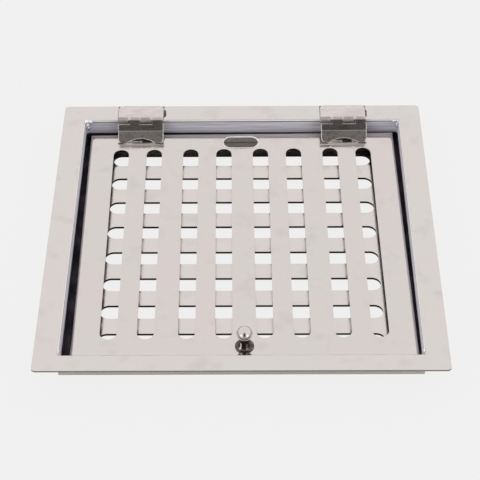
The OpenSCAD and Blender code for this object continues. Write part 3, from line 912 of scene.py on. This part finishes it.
def zinc_plating():
    material, tree, where = begin_finish("zinc-plated steel")
    colour = tint(tree, patches(tree, where, ZINC_MM, 3.0), "#C9CCD3", "#D6D2C2")
    end_finish(tree, colour, level(tree, patches(tree, where, ZINC_MM, 3.0), 0.22, 0.36))
    return material


wire = drawn_wire()
zinc = zinc_plating()
for side in ("left", "right"):
    dress(f"{side}_hinge_pin", wire)
dress("knob_screw", zinc)
dress("knob_washer", zinc)

# %% [markdown]
# A thin etched plate lies on the lid's middle bar, near the hinges. It is an
# obround: a rectangle whose four corners are bevelled by half its width. Its
# field is inset and etched dark, and left blank here.

# %% The blank plate
PLATE_W, PLATE_D, PLATE_T = 31.3 * MM, 15.8 * MM, 0.25 * MM
PLATE_FROM_AXIS = 13.2 * MM
PLATE_X = -1.0 * MM
RING_W = 1.1 * MM
FIELD_STEP, FIELD_DEPTH = 0.3 * MM, 0.12 * MM
ETCH_MM = 2.4
askew = math.atan2(KNOB_MIDDLE[0], AXIS_Y - KNOB_MIDDLE[1])


def etched_field():
    material, tree, where = begin_finish("etched stainless field")
    cloud = patches(tree, where, ETCH_MM, 3.0)
    end_finish(tree, tint(tree, cloud, "#67635F", "#7A7571"), level(tree, cloud, 0.42, 0.55))
    return material


def blank_plate():
    form = bmesh.new()
    made = bmesh.ops.create_grid(form, x_segments=1, y_segments=1, size=0.5)["verts"]
    bmesh.ops.scale(form, verts=made, vec=(PLATE_W, PLATE_D, 1))
    bmesh.ops.bevel(form, geom=made, affect="VERTICES", offset=PLATE_D / 2 - 0.01 * MM, segments=14, profile=0.5,
                    material=-1)
    top = bmesh.ops.extrude_face_region(form, geom=form.faces[:])["geom"]
    bmesh.ops.translate(form, verts=[v for v in top if isinstance(v, bmesh.types.BMVert)], vec=(0, 0, PLATE_T))
    bmesh.ops.recalc_face_normals(form, faces=form.faces)
    upper = [f for f in form.faces if f.normal.z > 0.9]
    bmesh.ops.inset_region(form, faces=upper, thickness=RING_W, depth=0)
    field = [f for f in form.faces if f.normal.z > 0.9 and len(f.verts) > 12]
    bmesh.ops.inset_region(form, faces=field, thickness=FIELD_STEP, depth=-FIELD_DEPTH)
    for face in form.faces:
        if face.normal.z > 0.9 and len(face.verts) > 12:
            face.material_index = 1
    bmesh.ops.rotate(form, verts=form.verts, cent=(0, 0, 0), matrix=Matrix.Rotation(askew, 3, "Z"))
    bmesh.ops.translate(form, verts=form.verts,
                        vec=(PLATE_X + PLATE_FROM_AXIS * math.sin(askew), AXIS_Y - PLATE_FROM_AXIS, LID_TOP))
    return form


finish_piece(blank_plate(), "blank_plate", [rim_highlight_and_plate_ring, etched_field()], nodes["lid"]["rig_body"])

# %% [markdown]
# Every joint of this grate is welded, and the beads are left as the torch made
# them: a row of lumps that have run into each other. A bead here is a row of
# small squashed spheres that overlap along a line, and their sizes swell towards
# the middle. One seed keeps them the same on each run. Beads that were cleaned
# are bright, and those beside the leaves keep their burnt brown skin.

# %% Helpers for weld beads
random.seed(11)


def bead(form, start, end, count, radius, flat=0.6, wander=0.25):
    start, end = Vector(start), Vector(end)
    for step in range(count):
        share = (step + 0.5) / count
        size = radius * (0.55 + 0.45 * math.sin(math.pi * share)) * random.uniform(0.8, 1.15)
        made = bmesh.ops.create_icosphere(form, subdivisions=3, radius=size)["verts"]
        bmesh.ops.scale(form, verts=made, vec=(random.uniform(0.9, 1.3), random.uniform(0.9, 1.3), flat))
        drift = Vector((random.uniform(-wander, wander), random.uniform(-wander, wander), 0)) * radius
        bmesh.ops.translate(form, verts=made, vec=start.lerp(end, share) + drift)


def weld_finish(name, tones, roughs, lump_mm, depth_mm):
    material, tree, where = begin_finish(name)
    lump = patches(tree, where, lump_mm, 3.0, 0.35, 0.65)
    bump = add_node(tree, "ShaderNodeBump", {"Strength": 0.9, "Distance": depth_mm * MM}, {"Height": lump})
    end_finish(tree, tint(tree, lump, *tones), level(tree, lump, *roughs), bump.outputs[0])
    return material


bright_weld = weld_finish("bright weld bead", ("#FFFFFF", "#DEDCE6"), (0.05, 0.2), 1.2, 0.2)
# This finish also colours the thin dark sheet under the frame leaves, as a painted shadow.
burnt_weld_and_shadow_sheet = weld_finish("burnt weld bead and painted leaf shadow", ("#6B625C", "#3A3431"), (0.12, 0.35), 0.9, 0.12)
print("weld finishes:", bright_weld.name + ",", burnt_weld_and_shadow_sheet.name)

# %% [markdown]
# The frame's four corners are welded inside the recess. The rear ones were laid
# thickly, down the corner and a little way along the rear wall. The front ones
# are short and end on the flange.

# %% Welds at the frame's corners
FLANGE_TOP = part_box("frame")[1].z
WALL_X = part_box("lower_grate")[1].x
WALL_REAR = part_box("lower_grate")[1].y
WALL_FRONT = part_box("lower_grate")[0].y
REAR_BEADS = ((-1, 2.7 * MM), (1, 1.5 * MM))
REAR_INSET = 0.7 * MM
FRONT_OUTSET = 0.3 * MM
FRONT_R = 0.65 * MM

corner_welds = bmesh.new()
for side, size in REAR_BEADS:
    x, y = side * (WALL_X - REAR_INSET), WALL_REAR - REAR_INSET
    bead(corner_welds, (x, y, FLANGE_TOP - 0.6 * MM), (x, y, LID_TOP + 2.2 * MM), 8, size, 1.0)
    bead(corner_welds, (x - side * 1.2 * MM, y + 0.5 * MM, FLANGE_TOP - 1.6 * MM),
         (x - side * 4.2 * MM, y + 0.6 * MM, FLANGE_TOP - 1.2 * MM), 4, 0.7 * size, 0.8)
for side in (-1, 1):
    x, y = side * (WALL_X + FRONT_OUTSET), WALL_FRONT - FRONT_OUTSET
    bead(corner_welds, (x, y + 0.6 * MM, FLANGE_TOP - 0.1 * MM), (x, y + 5.5 * MM, FLANGE_TOP - 0.2 * MM),
         5, FRONT_R, 0.45)
finish_piece(corner_welds, "corner_welds", [bright_weld], "frame")

# %% [markdown]
# Each frame leaf is welded along its right side. A thin dark sheet lies under
# each frame leaf and shows round its edges, as a painted shadow line. Each lid
# leaf stands on two short tacks at its lower corners.

# %% Welds at the hinge leaves
# Size and lift of the dark sheet under each frame leaf, a painted shadow line.
SHADOW_SHEET_MARGIN = 0.4 * MM
SHADOW_SHEET_LIFT = 0.1 * MM
SHADOW_SHEET_SHORT = 4 * MM
SIDE_BEAD_R = {"left": 1.4 * MM, "right": 0.8 * MM}
SIDE_BEAD_OUT = (0.5 * MM, 0.6 * MM)
SIDE_BEAD_SPAN = (7 * MM, 16 * MM)
TACK_R = 0.7 * MM
TACK_OUT = 0.3 * MM
TACK_L = (5.5 * MM, 7.5 * MM)

leaf_welds_and_shadow = bmesh.new()
tack_welds = bmesh.new()
for side in ("left", "right"):
    low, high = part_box(f"{side}_frame_leaf")
    # A thin dark sheet under the leaf, showing round its edges as a painted shadow line.
    line = bmesh.ops.create_grid(leaf_welds_and_shadow, x_segments=1, y_segments=1, size=0.5)["verts"]
    depth = high.y - AXIS_Y - SHADOW_SHEET_SHORT
    bmesh.ops.scale(leaf_welds_and_shadow, verts=line, vec=(LEAF_W + 2 * SHADOW_SHEET_MARGIN, depth, 1))
    bmesh.ops.translate(leaf_welds_and_shadow, verts=line,
                        vec=((low.x + high.x) / 2, high.y + SHADOW_SHEET_MARGIN - depth / 2, FLANGE_TOP + SHADOW_SHEET_LIFT))
    start, end = [(high.x + out, AXIS_Y + along, FLANGE_TOP) for out, along in zip(SIDE_BEAD_OUT, SIDE_BEAD_SPAN)]
    bead(leaf_welds_and_shadow, start, end, 9, SIDE_BEAD_R[side], 0.5)
    low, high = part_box(f"{side}_lid_leaf")
    for x0, x1 in ((low.x - TACK_OUT, low.x + TACK_L[0]), (high.x - TACK_L[1], high.x + TACK_OUT)):
        start, end = [(x, low.y - TACK_OUT, LID_TOP + 0.1 * MM) for x in (x0, x1)]
        bead(tack_welds, start, end, 8, TACK_R, 0.5, 0.35)
finish_piece(leaf_welds_and_shadow, "frame_leaf_welds_and_shadow", [burnt_weld_and_shadow_sheet], "frame")
finish_piece(tack_welds, "lid_leaf_tacks", [burnt_weld_and_shadow_sheet], nodes["lid"]["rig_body"])
